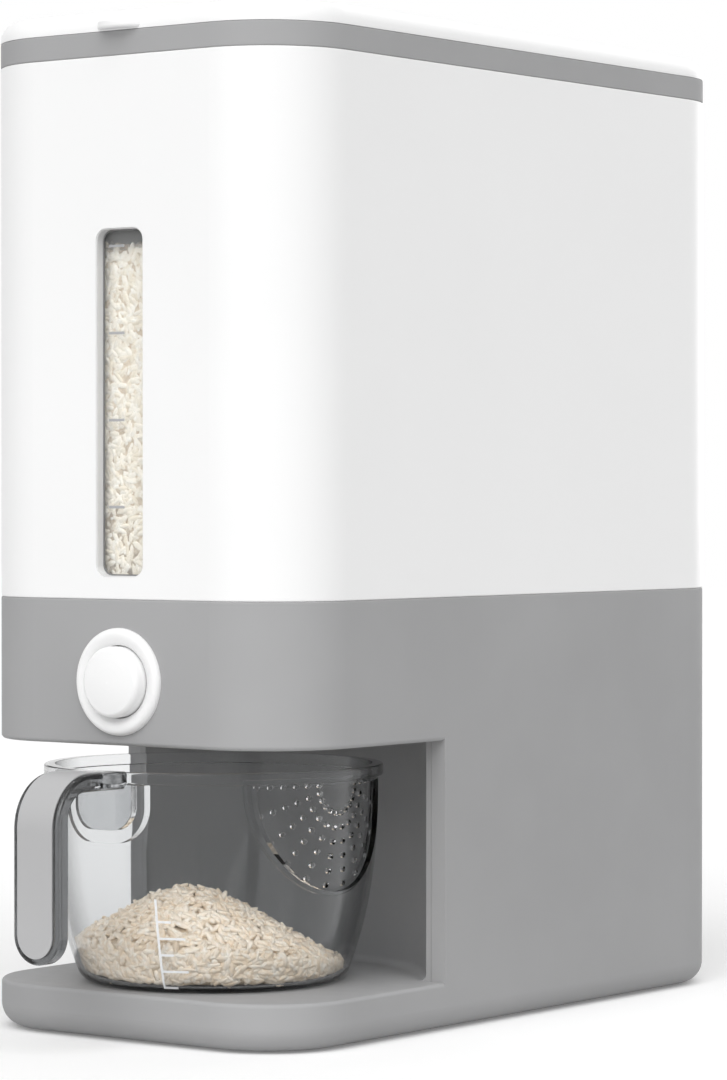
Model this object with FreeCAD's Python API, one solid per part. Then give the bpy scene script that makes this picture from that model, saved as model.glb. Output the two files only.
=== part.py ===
import FreeCAD, Part
import os
from math import asin, cos, pi, radians, sin, sqrt, tan

V = FreeCAD.Vector
X_AXIS, Y_AXIS, Z_AXIS = V(1, 0, 0), V(0, 1, 0), V(0, 0, 1)

# Countertop rice dispenser: a white hopper on a grey base whose head hangs over an open bay,
# with a push button that opens a gate, and a clear measuring cup that stands on the tray.
# Millimetres. X to the right seen from the front, Y to the back, Z up.
# The origin is the centre of the housing's footprint, on the surface it stands on.

# ---- housing outline and heights ----
WIDTH = 160.0
DEPTH = 311.0
CORNER_R = 36.3
FOOT_PROUD = 0.6
TRAY_H = 18.5
BAY_H = 93.7
HEAD_H = 55.3
HOPPER_H = 205.5
COLLAR_H = 9.5
LID_H = 8.5
BASE_WALL = 2.6
HOPPER_WALL = 2.5
FIT = 0.2            # between fixed pieces that fit into each other
SLIP = 0.3           # between flat pieces that move past each other
RUN_FIT = 0.06       # between a pin and its bore, radial
SEAM_ROUND = 0.6     # broken edges along the parting lines

# ---- bay, tray and base ----
BAY_BACK_FROM_FRONT = 99.5
CUP_AXIS_FROM_FRONT = 56.5
LINER_EDGE_INSET = 6.7  # from the housing's side to the liner's front edge
LINER_T = 2.0
LINER_COVE_R = 3.0
LINER_TAB_T = 2.0
LINER_TAB_H = 12.0
LINER_TAB_FROM_EDGE = 12.0
LINER_TAB_FIT = 0.1
RECESS_PLATE_LAP = 2.0  # how far the recess's floor and ceiling run behind the liner
BOTTOM_ROUND = 9.0
OPENING_ROUND = 1.6
PLATE_INSET = 10.0
FOOT_R = 8.0
FOOT_POCKET = 1.4
FOOT_INSET = 26.0
FOOT_END_INSET = 44.0
FOOT_CHAMFER = 0.3
FOOT_FIT = 0.1
BASE_BOSS_R = 4.0
BASE_BOSS_H = 27.0
BASE_SCREW_LEN = 10.0
BOSS_INSET = 17.0
BOSS_END_INSET = 29.0
BOSS_BEHIND_BAY = 40.0
BOSS_RIB_T = 2.4

# ---- screws ----
SCREW_R = 1.4
SCREW_HEAD_R = 2.8
SCREW_HEAD_H = 1.5
SCREW_CLEARANCE = 0.4
SCREW_HEAD_FIT = 0.2
SCREW_SOCKET_R = 1.0
SCREW_SOCKET_H = 0.9
THREAD_FIT = 0.05
THREAD_ROOM = 1.0       # from a screw's tip to the end of its hole

# ---- hopper, funnel and the joint between hopper and base ----
FLANGE_T = 2.5
FLANGE_W = 6.0
LEDGE_W = 4.0
SEAL_T = 1.2
FUNNEL_T = 2.2
THROAT_W = 24.0
THROAT_L = 18.0
THROAT_FROM_FRONT = 26.5
THROAT_H = 6.6
SIDE_SLOPE = 45.0
REAR_SLOPE = 27.0
FRONT_SLOPE = 60.0
FRONT_UPRIGHT_H = 28.6
HOPPER_BOSS_R = 3.5
HOPPER_BOSS_H = 5.4
HOPPER_BOSS_INSET = 11.0
HOPPER_BOSS_FROM_FRONT = 33.5
HOPPER_BOSS_FROM_BACK = 70.5
HOPPER_BOSS_CAP = 1.0   # left above a boss's screw hole
FUNNEL_RING_W = 11.7
FUNNEL_WEB_LAP = 3.0
SEAL_INSET = 0.5

# ---- sight window ----
WINDOW_W = 23.3
WINDOW_H = 131.9
WINDOW_R = 4.8
WINDOW_LIFT = 8.5
WINDOW_RECESS = 4.4
WINDOW_RIM = 4.0
PANE_T = 2.0
PANE_LAP = 2.8

# ---- collar, lid and hinge ----
COLLAR_LIP = 12.0
COLLAR_T = 2.6
COLLAR_SKIRT_T = 2.2
COLLAR_SKIRT_H = 9.0
LID_WALL = 2.4
LID_ROUND = 7.5
LID_LIP_T = 2.0
LID_LIP_H = 5.0
LID_SEAL_W = 1.1
LID_SEAL_H = 2.5
TAB_W = 21.0
TAB_PROUD = 5.4
TAB_H = 3.4
TAB_LIFT = 0.4
TAB_ROUND = 1.2
TAB_ROOT = 1.5
LID_SEAL_LIFT = 1.0
KNUCKLE_R = 3.2
HINGE_PIN_R = 1.0
HINGE_X = 42.0
KNUCKLE_L = 6.2

# ---- push button ----
BUTTON_H = 24.2
BEZEL_R = 20.4
BEZEL_PROUD = 2.6
BEZEL_BARREL_R = 17.0
BEZEL_BARREL_L = 4.0
BEZEL_FIT = 0.15
BEZEL_EDGE_R = 2.2
BEZEL_LOW = 0.4         # how far the dished face stands proud beside the cap
CAP_R = 13.5
CAP_PROUD = 4.7
CAP_WALL = 1.8
CAP_ROUND = 2.2
CAP_CROWN = 0.9
CAP_GAP = 0.35
CAP_STOP_R = 15.4
CAP_STOP_T = 1.2
STEM_R = 4.0
STEM_L = 15.0
STEM_FIT = 0.05
STEM_END_GAP = 0.2
CAP_BOSS_WALL = 1.8

# ---- gate under the funnel throat ----
STROKE = 7.0
GATE_T = 2.4
GATE_W = 32.0
GATE_HOLE_W = 22.0
GATE_LAP = 0.5
GATE_REACH = 11.0
GUIDE_T = 3.0
GUIDE_RAIL_W = 4.6
ARM_W = 16.0
ARM_T = 2.5
ARM_LEAD = 4.5
ARM_ABOVE_STEM = 1.0
TAIL_W = 12.0
TAIL_T = 2.5
TAIL_H = 9.3
TAIL_ROOM = 2.0
STOP_W = 18.0
STOP_T = 3.0
STOP_ABOVE_TAIL = 1.5
GUIDE_LEAD = 2.0
SPRING_L = 22.0
SPRING_R = 3.2
SPRING_WIRE_R = 0.4
SPRING_TURNS = 7
SPRING_END_GAP = 0.1
ROD_R = 1.5
ROD_LEAD = 1.4
ROD_LIFT = 5.5
ROD_FIT = 0.1
NOZZLE_WALL = 1.6
NOZZLE_RIM = 2.0
NOZZLE_DROP = 1.5
NOZZLE_L = 13.0
NOZZLE_W = 25.0
NOZZLE_LEAD = 2.5
NOZZLE_FIT = 0.1
THROAT_FLANGE_T = 2.2
THROAT_FLANGE_W = 60.0
THROAT_FLANGE_LEAD = 1.8
THROAT_FLANGE_TAIL = 26.0
POST_R = 3.5
POST_INSET = 4.5
POST_FLOOR = 1.0        # left under a post's screw hole

# ---- measuring cup ----
CUP_H = 84.4
CUP_R = 64.0
CUP_BELLY = 12.9
CUP_BELLY_H = 80.0
CUP_BELLY_POWER = 2.6
CUP_FOOT_ROUND = 5.0
CUP_INNER_ROUND = 4.0
CUP_WALL = 2.2
CUP_FLOOR = 2.4
RIM_PROUD = 2.0
RIM_H = 4.5
RIM_ROUND = 0.8
SOCKET_W = 38.0
SOCKET_DROP = 22.3
SOCKET_RIB = 5.0
SOCKET_T = 3.2
SOCKET_R = 14.0

# ---- cup handle ----
HANDLE_W = 22.0
HANDLE_T = 6.5
HANDLE_REACH = 104.3
HANDLE_TOP = 0.5
HANDLE_H = 70.0
HANDLE_OUTER_R = 20.0
HANDLE_INNER_R = 10.0
HANDLE_ROUND = 1.2
HANDLE_INTO_WALL = 2.0
GRIP_W = 17.0
GRIP_DEPTH = 2.0
GRIP_PROUD = 0.4
GRIP_ARM_L = 7.0
GRIP_FIT = 0.05

# ---- cup strainer ----
STRAINER_R = 42.5
STRAINER_T = 1.5
STRAINER_LAP = 1.6
STRAINER_TOP = 3.0
STRAINER_DROP = 1.2
HOLE_R = 1.1
HOLE_RINGS = 6
HOLE_RING_PITCH = 5.5
HOLES_PER_RING = 12
HOLE_MARGIN = 3.9

# ---- levels and lines that follow from the sizes ----
FRONT = -DEPTH / 2
BACK = DEPTH / 2
SIDE = WIDTH / 2
TRAY_TOP = FOOT_PROUD + TRAY_H
HEAD_BOTTOM = TRAY_TOP + BAY_H
SEAM = HEAD_BOTTOM + HEAD_H
HOPPER_TOP = SEAM + HOPPER_H
COLLAR_TOP = HOPPER_TOP + COLLAR_H
LID_TOP = COLLAR_TOP + LID_H
BAY_BACK = FRONT + BAY_BACK_FROM_FRONT
CUP_Y = FRONT + CUP_AXIS_FROM_FRONT
LINER_EDGE_X = SIDE - LINER_EDGE_INSET
RECESS_R = sqrt(LINER_EDGE_X ** 2 + (BAY_BACK - CUP_Y) ** 2) - LINER_T
STRIP_GAP = LINER_EDGE_X + LINER_TAB_FIT
BUTTON_Z = HEAD_BOTTOM + BUTTON_H
FLANGE_TOP = SEAM - SEAL_T
FLANGE_BOTTOM = FLANGE_TOP - FLANGE_T
CUP_RIM = TRAY_TOP + CUP_H
RIM_R = CUP_R + RIM_PROUD
WINDOW_Z = SEAM + WINDOW_LIFT + WINDOW_H / 2

GUIDE_TOP = HEAD_BOTTOM + BASE_WALL + GUIDE_T
GATE_Z = GUIDE_TOP + SLIP
THROAT_Z = GATE_Z + GATE_T + SLIP
THROAT_FRONT = FRONT + THROAT_FROM_FRONT
THROAT_BACK = THROAT_FRONT + THROAT_L
GATE_HOLE_BACK = THROAT_FRONT - GATE_LAP
GATE_HOLE_FRONT = GATE_HOLE_BACK - STROKE
ARM_BACK = GATE_HOLE_FRONT - ARM_LEAD
ARM_FRONT = ARM_BACK - ARM_T
GATE_BACK = THROAT_BACK + GATE_REACH
ROD_Z = GATE_Z + ROD_LIFT
STOP_FRONT = GATE_BACK + SPRING_L
NOZZLE_FRONT = THROAT_FRONT - NOZZLE_LEAD
FLANGE_FRONT = THROAT_FRONT - FUNNEL_T - THROAT_FLANGE_LEAD
FLANGE_BACK = THROAT_BACK + THROAT_FLANGE_TAIL
THROAT_SCREW_TIP = HEAD_BOTTOM + POST_FLOOR + THREAD_ROOM

# ---- working lengths of the script, not sizes of the object ----
FAR = 4 * DEPTH         # past every piece
PAST = 1.0              # how far a cut runs out of the solid
LAP = 0.5               # how far the parts of one solid run into each other
TOL = 1e-3


# ---- solids that several pieces use ----
def box(x0, x1, y0, y1, z0, z1):
    return Part.makeBox(x1 - x0, y1 - y0, z1 - z0, V(x0, y0, z0))


def cylinder(radius, start, end):
    run = V(*end) - V(*start)
    return Part.makeCylinder(radius, run.Length, V(*start), run)


def prism(points, run):
    """Solid on a closed outline of points, pushed along run."""
    wire = Part.makePolygon([V(*p) for p in points] + [V(*points[0])])
    return Part.Face(wire).extrude(V(*run))


def slab(width, depth, radius, z0, z1, x=0.0, y=0.0):
    """Upright prism on a rounded rectangle centred at x, y."""
    a, b = width / 2 - radius, depth / 2 - radius
    edges = []
    corners = [(a, -b, -90), (a, b, 0), (-a, b, 90), (-a, -b, 180)]
    for i, (cx, cy, turn) in enumerate(corners):
        at = [V(x + cx + radius * cos(radians(turn + s)), y + cy + radius * sin(radians(turn + s)), z0)
              for s in (0, 45, 90)]
        edges.append(Part.Arc(*at).toShape())
        nx, ny, turn_next = corners[(i + 1) % 4]
        start = V(x + nx + radius * cos(radians(turn_next)), y + ny + radius * sin(radians(turn_next)), z0)
        if start.distanceToPoint(at[2]) > TOL:
            edges.append(Part.makeLine(at[2], start))
    face = Part.Face(Part.Wire(Part.__sortEdges__(edges)))
    return face.extrude(V(0, 0, z1 - z0))


def inset_slab(inset, z0, z1):
    """The housing's outline, inset, as an upright prism."""
    return slab(WIDTH - 2 * inset, DEPTH - 2 * inset, CORNER_R - inset, z0, z1)


def ring(outer_inset, inner_inset, z0, z1):
    return inset_slab(outer_inset, z0, z1).cut(inset_slab(inner_inset, z0 - PAST, z1 + PAST))


def upright_slot(width, height, radius, y0, y1, x, z):
    """Prism along Y on a rounded rectangle that stands in the XZ plane."""
    shape = slab(width, height, radius, 0, y1 - y0)
    shape.rotate(V(0, 0, 0), X_AXIS, 90)
    shape.translate(V(x, y1, z))
    return shape


def turned(points, axis, at):
    """Solid of revolution: points are (radius, position along the axis)."""
    side = X_AXIS
    outline = [side * r + axis * t for r, t in points]
    face = Part.Face(Part.makePolygon(outline + [outline[0]]))
    shape = face.revolve(V(0, 0, 0), axis, 360)
    shape.translate(V(*at))
    return shape


def level_edges(shape, z):
    return [e for e in shape.Edges
            if abs(e.BoundBox.ZMin - z) < TOL and abs(e.BoundBox.ZMax - z) < TOL]


def rounded(shape, radius, edges):
    return shape.makeFillet(radius, edges)


def fused(first, *others):
    return first.fuse(list(others)).removeSplitter()


def screw(x, y, z_head, length, up=True):
    """Pan-head screw whose shank starts at z_head and runs up or down."""
    way = 1 if up else -1
    head = cylinder(SCREW_HEAD_R, (x, y, z_head - way * SCREW_HEAD_H), (x, y, z_head))
    shank = cylinder(SCREW_R, (x, y, z_head - way * LAP), (x, y, z_head + way * length))
    socket_end = z_head - way * (SCREW_HEAD_H - SCREW_SOCKET_H)
    socket = cylinder(SCREW_SOCKET_R, (x, y, z_head - way * (SCREW_HEAD_H + PAST)), (x, y, socket_end))
    return fused(head, shank).cut(socket)


def screw_hole(x, y, z0, z1, clearance=SCREW_CLEARANCE):
    return cylinder(SCREW_R + clearance, (x, y, z0), (x, y, z1))


# ---- base ----
def base_boss_places():
    side = SIDE - BOSS_INSET
    rows = (FRONT + BOSS_END_INSET, BAY_BACK + BOSS_BEHIND_BAY, BACK - BOSS_END_INSET)
    return [(sx * side, y) for sx in (-1, 1) for y in rows]


def foot_places():
    return [(sx * (SIDE - FOOT_INSET), sy * (BACK - FOOT_END_INSET)) for sx in (-1, 1) for sy in (-1, 1)]


def hopper_boss_places():
    front, back = FRONT + HOPPER_BOSS_FROM_FRONT, BACK - HOPPER_BOSS_FROM_BACK
    return [(sx * (SIDE - HOPPER_BOSS_INSET), y) for sx in (-1, 1) for y in (front, (front + back) / 2, back)]


def post_places():
    x = (GATE_W / 2 + SLIP + GUIDE_RAIL_W + THROAT_FLANGE_W / 2) / 2
    return [(sx * x, y) for sx in (-1, 1) for y in (FLANGE_FRONT + POST_INSET, FLANGE_BACK - POST_INSET)]


def boss_rib(x, y, edge, z0, z1):
    """Rib that ties a boss at x, y to the wall at edge."""
    return box(min(x, edge), max(x, edge), y - BOSS_RIB_T / 2, y + BOSS_RIB_T / 2, z0, z1)


def recess_plate(z0, z1):
    """Floor or ceiling of the round recess, behind the bay's back plane."""
    disc = cylinder(RECESS_R + LINER_T + RECESS_PLATE_LAP, (0, CUP_Y, z0), (0, CUP_Y, z1))
    return disc.common(box(-SIDE, SIDE, BAY_BACK + BASE_WALL - LAP, BACK, z0, z1))


def nozzle_box(grow, z0, z1):
    half = NOZZLE_W / 2 + grow
    return box(-half, half, NOZZLE_FRONT - grow, NOZZLE_FRONT + NOZZLE_L + grow, z0, z1)


def base_shell():
    floor = FOOT_PROUD + BASE_WALL
    body = inset_slab(0, FOOT_PROUD, SEAM)
    body = rounded(body, BOTTOM_ROUND, level_edges(body, FOOT_PROUD))
    body = rounded(body, SEAM_ROUND, level_edges(body, SEAM))
    body = body.cut(box(-FAR, FAR, -FAR, BAY_BACK, TRAY_TOP, HEAD_BOTTOM))
    lips = [e for z in (TRAY_TOP, HEAD_BOTTOM) for e in level_edges(body, z)
            if e.BoundBox.YMin < BAY_BACK - TOL]
    body = rounded(body, OPENING_ROUND, lips)

    hollow = inset_slab(BASE_WALL, floor, SEAM + PAST)
    hollow = rounded(hollow, BOTTOM_ROUND - BASE_WALL, level_edges(hollow, floor))
    hollow = hollow.cut(box(-FAR, FAR, -FAR, BAY_BACK + BASE_WALL, TRAY_TOP - BASE_WALL,
                            HEAD_BOTTOM + BASE_WALL))
    body = body.cut(hollow)
    body = body.cut(box(-STRIP_GAP, STRIP_GAP, BAY_BACK - PAST, BAY_BACK + BASE_WALL + PAST,
                        TRAY_TOP, HEAD_BOTTOM))
    body = body.cut(inset_slab(PLATE_INSET, FOOT_PROUD - PAST, floor + PAST))

    inner = inset_slab(BASE_WALL - LAP, floor, SEAM)
    parts = [recess_plate(TRAY_TOP - BASE_WALL, TRAY_TOP), recess_plate(HEAD_BOTTOM, HEAD_BOTTOM + BASE_WALL)]
    parts.append(ring(BASE_WALL - LAP, BASE_WALL + LEDGE_W, FLANGE_BOTTOM - FLANGE_T, FLANGE_BOTTOM))
    holes = []
    for x, y in base_boss_places():
        top = TRAY_TOP - BASE_WALL + LAP if y < BAY_BACK else floor + BASE_BOSS_H
        parts.append(cylinder(BASE_BOSS_R, (x, y, floor), (x, y, top)))
        parts.append(boss_rib(x, y, SIDE if x > 0 else -SIDE, floor + BOTTOM_ROUND / 4, top).common(inner))
        holes.append(screw_hole(x, y, floor - PAST, floor + BASE_SCREW_LEN + THREAD_ROOM, THREAD_FIT))
    for x, y in hopper_boss_places():
        tab = cylinder(HOPPER_BOSS_INSET - BASE_WALL, (x, y, FLANGE_BOTTOM - FLANGE_T), (x, y, FLANGE_BOTTOM))
        parts.append(tab.common(inner))
        holes.append(screw_hole(x, y, FLANGE_BOTTOM - FLANGE_T - PAST, FLANGE_BOTTOM + PAST))
    for x, y in post_places():
        parts.append(cylinder(POST_R, (x, y, HEAD_BOTTOM + BASE_WALL - LAP), (x, y, THROAT_Z)))
        holes.append(screw_hole(x, y, THROAT_SCREW_TIP - THREAD_ROOM, THROAT_Z + PAST, THREAD_FIT))
    holes.append(cylinder(BEZEL_BARREL_R + BEZEL_FIT, (0, FRONT - PAST, BUTTON_Z),
                          (0, FRONT + BASE_WALL + PAST, BUTTON_Z)))
    holes.append(nozzle_box(NOZZLE_WALL + NOZZLE_FIT, HEAD_BOTTOM - PAST, HEAD_BOTTOM + BASE_WALL + PAST))
    body = fused(body, *parts)
    return body.cut(holes)


def bay_liner():
    """Concave rear wall of the bay, round the cup's axis, with a cove along its foot."""
    cove = LINER_COVE_R
    arc = [(RECESS_R - cove + cove * sin(radians(a)), TRAY_TOP + cove - cove * cos(radians(a)))
           for a in range(0, 91, 15)]
    outer = RECESS_R + LINER_T
    outline = arc + [(RECESS_R, HEAD_BOTTOM), (outer, HEAD_BOTTOM), (outer, TRAY_TOP)]
    wall = turned(outline, Z_AXIS, (0, CUP_Y, 0)).common(box(-FAR, FAR, BAY_BACK, BACK, 0, SEAM))
    y = BAY_BACK + BASE_WALL + LINER_TAB_FIT
    tip = SIDE - BASE_WALL - FIT
    levels = (TRAY_TOP + LINER_TAB_FROM_EDGE, HEAD_BOTTOM - LINER_TAB_FROM_EDGE - LINER_TAB_H)
    strips = [box(-tip, tip, y, y + LINER_TAB_T, z, z + LINER_TAB_H) for z in levels]
    bore = cylinder(RECESS_R + LINER_T / 2, (0, CUP_Y, 0), (0, CUP_Y, SEAM))
    return fused(wall, *[strip.cut(bore) for strip in strips])


def base_plate():
    floor = FOOT_PROUD + BASE_WALL
    plate = inset_slab(PLATE_INSET + FIT, FOOT_PROUD, floor)
    pocket_top = FOOT_PROUD + FOOT_POCKET
    cuts = [cylinder(FOOT_R + FOOT_FIT, (x, y, 0), (x, y, pocket_top)) for x, y in foot_places()]
    for x, y in base_boss_places():
        cuts.append(screw_hole(x, y, 0, floor + PAST))
        cuts.append(cylinder(SCREW_HEAD_R + SCREW_HEAD_FIT, (x, y, 0), (x, y, FOOT_PROUD + SCREW_HEAD_H)))
    return plate.cut(cuts)


def rubber_feet():
    feet = []
    for x, y in foot_places():
        foot = cylinder(FOOT_R, (x, y, 0), (x, y, FOOT_PROUD + FOOT_POCKET))
        feet.append(foot.makeChamfer(FOOT_CHAMFER, level_edges(foot, 0)))
    return Part.makeCompound(feet)


def base_screws():
    return Part.makeCompound([screw(x, y, FOOT_PROUD + SCREW_HEAD_H, BASE_SCREW_LEN)
                              for x, y in base_boss_places()])


# ---- hopper ----
def window_slot(grow, y0, y1):
    """The window's outline, grown on all sides, as a prism along Y."""
    return upright_slot(WINDOW_W + 2 * grow, WINDOW_H + 2 * grow, WINDOW_R + grow, y0, y1, 0, WINDOW_Z)


def hopper_shell():
    wall = inset_slab(0, SEAM, HOPPER_TOP)
    wall = rounded(wall, SEAM_ROUND, level_edges(wall, SEAM) + level_edges(wall, HOPPER_TOP))
    wall = wall.cut(inset_slab(HOPPER_WALL, SEAM - PAST, HOPPER_TOP + PAST))
    flange = ring(HOPPER_WALL - LAP, HOPPER_WALL + FLANGE_W, SEAM, SEAM + FLANGE_T)
    inner = inset_slab(HOPPER_WALL - LAP, SEAM, HOPPER_TOP)
    rim = window_slot(WINDOW_RIM, FRONT + HOPPER_WALL - LAP, FRONT + WINDOW_RECESS)
    parts, holes = [flange, rim], []
    for x, y in hopper_boss_places():
        top = SEAM + FLANGE_T + HOPPER_BOSS_H
        parts.append(cylinder(HOPPER_BOSS_R, (x, y, SEAM), (x, y, top)))
        parts.append(boss_rib(x, y, SIDE if x > 0 else -SIDE, SEAM, top).common(inner))
        holes.append(screw_hole(x, y, SEAM - PAST, top - HOPPER_BOSS_CAP, THREAD_FIT))
    holes.append(window_slot(0, FRONT - PAST, FRONT + WINDOW_RECESS + PAST))
    return fused(wall, *parts).cut(holes)


def sight_window():
    return window_slot(PANE_LAP, FRONT + WINDOW_RECESS, FRONT + WINDOW_RECESS + PANE_T)


def funnel_form(t, top):
    """What the funnel holds, grown by t: its lengthwise outline crossed with its crosswise one."""
    side, rear = radians(SIDE_SLOPE), radians(REAR_SLOPE)
    slope_z = THROAT_Z + THROAT_H
    upright_z = THROAT_Z + FRONT_UPRIGHT_H
    front_y, back_y = THROAT_FRONT - t, THROAT_BACK + t
    drop = t / cos(rear) - t * tan(rear)
    corner_z = slope_z - drop
    front_shift = t * tan(radians(90 - FRONT_SLOPE) / 2)
    lip_y = front_y - (SEAM + FLANGE_T - upright_z - front_shift) / tan(radians(FRONT_SLOPE))
    length = [(front_y, THROAT_Z), (back_y, THROAT_Z), (back_y, corner_z),
              (back_y + FAR, corner_z + FAR * tan(rear)), (front_y - FAR, FAR * 2),
              (front_y - FAR, SEAM + FLANGE_T), (lip_y, SEAM + FLANGE_T), (front_y, upright_z + front_shift)]
    if t:
        length[4:7] = [(lip_y, FAR * 2), (lip_y, SEAM + FLANGE_T)]
    half = THROAT_W / 2 + t
    shoulder = slope_z - t * tan(side / 2)
    cross = [(-half, THROAT_Z), (half, THROAT_Z), (half, shoulder), (half + FAR, shoulder + FAR * tan(side)),
             (-half - FAR, shoulder + FAR * tan(side)), (-half, shoulder)]
    lengthwise = prism([(-FAR, y, z) for y, z in length], (2 * FAR, 0, 0))
    crosswise = prism([(x, -FAR, z) for x, z in cross], (0, 2 * FAR, 0))
    return lengthwise.common(crosswise).common(inset_slab(HOPPER_WALL + SLIP, THROAT_Z, top))


def hopper_funnel():
    void = funnel_form(0, HOPPER_TOP)
    skin = funnel_form(FUNNEL_T, HOPPER_TOP)
    middle = THROAT_BACK + (FLANGE_TOP - THROAT_Z - THROAT_H) / tan(radians(REAR_SLOPE))
    flange = ring(BASE_WALL + SLIP, BASE_WALL + SLIP + FUNNEL_RING_W, FLANGE_BOTTOM, FLANGE_TOP)
    web = inset_slab(BASE_WALL + SLIP, FLANGE_BOTTOM, FLANGE_TOP)
    web = web.common(box(-FAR, FAR, FRONT, middle + FUNNEL_WEB_LAP, FLANGE_BOTTOM, FLANGE_TOP))
    half = THROAT_FLANGE_W / 2
    foot = box(-half, half, FLANGE_FRONT, FLANGE_BACK, THROAT_Z, THROAT_Z + THROAT_FLANGE_T)
    tail_half = TAIL_W / 2 + TAIL_ROOM
    foot = foot.cut(box(-tail_half, tail_half, GATE_BACK - TAIL_T - TAIL_ROOM, FAR, 0, FAR))
    holes = [screw_hole(x, y, THROAT_Z - PAST, THROAT_Z + THROAT_FLANGE_T + PAST) for x, y in post_places()]
    holes += [screw_hole(x, y, FLANGE_BOTTOM - PAST, FLANGE_TOP + PAST) for x, y in hopper_boss_places()]
    return fused(skin, flange, web, foot).cut([void] + holes)


def funnel_seal():
    seal = ring(BASE_WALL + SLIP, HOPPER_WALL + FLANGE_W - SEAL_INSET, FLANGE_TOP, SEAM)
    return seal.cut([screw_hole(x, y, FLANGE_TOP - PAST, SEAM + PAST) for x, y in hopper_boss_places()])


def hopper_screws():
    z = FLANGE_BOTTOM - FLANGE_T
    length = SEAM + FLANGE_T + HOPPER_BOSS_H - HOPPER_BOSS_CAP - THREAD_ROOM - z
    return Part.makeCompound([screw(x, y, z, length) for x, y in hopper_boss_places()])


# ---- collar, lid and hinge ----
def knuckle(x, side, radius, length):
    """Barrel on the hinge axis: side -1, 0 or 1 is its place in the group at x."""
    pitch = KNUCKLE_L + SLIP
    middle = x + side * pitch
    return cylinder(radius, (middle - length / 2, BACK, COLLAR_TOP), (middle + length / 2, BACK, COLLAR_TOP))


def hinge_bores():
    return [knuckle(sx * HINGE_X, 0, HINGE_PIN_R + RUN_FIT, 4 * KNUCKLE_L) for sx in (-1, 1)]


def collar_frame():
    body = inset_slab(0, HOPPER_TOP, COLLAR_TOP)
    body = rounded(body, SEAM_ROUND, level_edges(body, HOPPER_TOP) + level_edges(body, COLLAR_TOP))
    body = body.cut(inset_slab(HOPPER_WALL, HOPPER_TOP - PAST, COLLAR_TOP - COLLAR_T))
    inset = HOPPER_WALL + FIT
    skirt = ring(inset, inset + COLLAR_SKIRT_T, HOPPER_TOP - COLLAR_SKIRT_H, COLLAR_TOP - COLLAR_T + LAP)
    body = fused(body, skirt).cut(inset_slab(COLLAR_LIP, HOPPER_TOP - PAST, COLLAR_TOP + PAST))
    room = [knuckle(sx * HINGE_X, 0, KNUCKLE_R + SLIP, KNUCKLE_L + 2 * SLIP) for sx in (-1, 1)]
    barrels = [knuckle(sx * HINGE_X, s, KNUCKLE_R, KNUCKLE_L) for sx in (-1, 1) for s in (-1, 1)]
    return fused(body.cut(room), *barrels).cut(hinge_bores())


def lid():
    body = inset_slab(0, COLLAR_TOP, LID_TOP)
    body = rounded(body, LID_ROUND, level_edges(body, LID_TOP))
    hollow = inset_slab(LID_WALL, COLLAR_TOP - PAST, LID_TOP - LID_WALL)
    hollow = rounded(hollow, LID_ROUND - LID_WALL, level_edges(hollow, LID_TOP - LID_WALL))
    tab_r = (TAB_W ** 2 / 4 + TAB_PROUD ** 2) / (2 * TAB_PROUD)
    tab_y = FRONT - TAB_PROUD + tab_r
    tab_z = COLLAR_TOP + TAB_LIFT
    tab = cylinder(tab_r, (0, tab_y, tab_z), (0, tab_y, tab_z + TAB_H))
    tab = rounded(tab, TAB_ROUND, level_edges(tab, tab_z + TAB_H) + level_edges(tab, tab_z))
    tab = tab.common(box(-FAR, FAR, -FAR, FRONT + TAB_ROOT, 0, FAR))
    outer = COLLAR_LIP + SLIP + LID_SEAL_W
    lip = ring(outer, outer + LID_LIP_T, COLLAR_TOP - LID_LIP_H, LID_TOP - LID_WALL + LAP)
    room = [knuckle(sx * HINGE_X, s, KNUCKLE_R + SLIP, KNUCKLE_L + 2 * SLIP)
            for sx in (-1, 1) for s in (-1, 1)]
    barrels = [knuckle(sx * HINGE_X, 0, KNUCKLE_R, KNUCKLE_L) for sx in (-1, 1)]
    body = fused(body.cut(hollow), tab, lip).cut(room)
    return fused(body, *barrels).cut(hinge_bores())


def lid_seal():
    outer = COLLAR_LIP + SLIP
    z = COLLAR_TOP - LID_LIP_H + LID_SEAL_LIFT
    return ring(outer, outer + LID_SEAL_W, z, z + LID_SEAL_H)


def lid_hinge_pins():
    length = 3 * KNUCKLE_L + 2 * SLIP
    return Part.makeCompound([knuckle(sx * HINGE_X, 0, HINGE_PIN_R, length) for sx in (-1, 1)])


# ---- push button ----
def button_bezel():
    hole = CAP_R + CAP_GAP
    inner_end = BASE_WALL + BEZEL_BARREL_L
    dish = 6
    crest = BEZEL_R - BEZEL_EDGE_R
    outline = [(hole, inner_end), (hole, -BEZEL_LOW)]
    for i in range(dish + 1):
        s = i / dish
        outline.append((hole + (crest - hole) * s,
                        -BEZEL_LOW - (BEZEL_PROUD - BEZEL_LOW) * (1 - (1 - s) ** 2)))
    outline += [(crest + BEZEL_EDGE_R * sin(radians(a)), -BEZEL_PROUD + BEZEL_EDGE_R * (1 - cos(radians(a))))
                for a in range(15, 91, 15)]
    outline += [(BEZEL_R, 0), (BEZEL_BARREL_R, 0), (BEZEL_BARREL_R, inner_end)]
    return turned(outline, Y_AXIS, (0, FRONT, BUTTON_Z))


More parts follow.
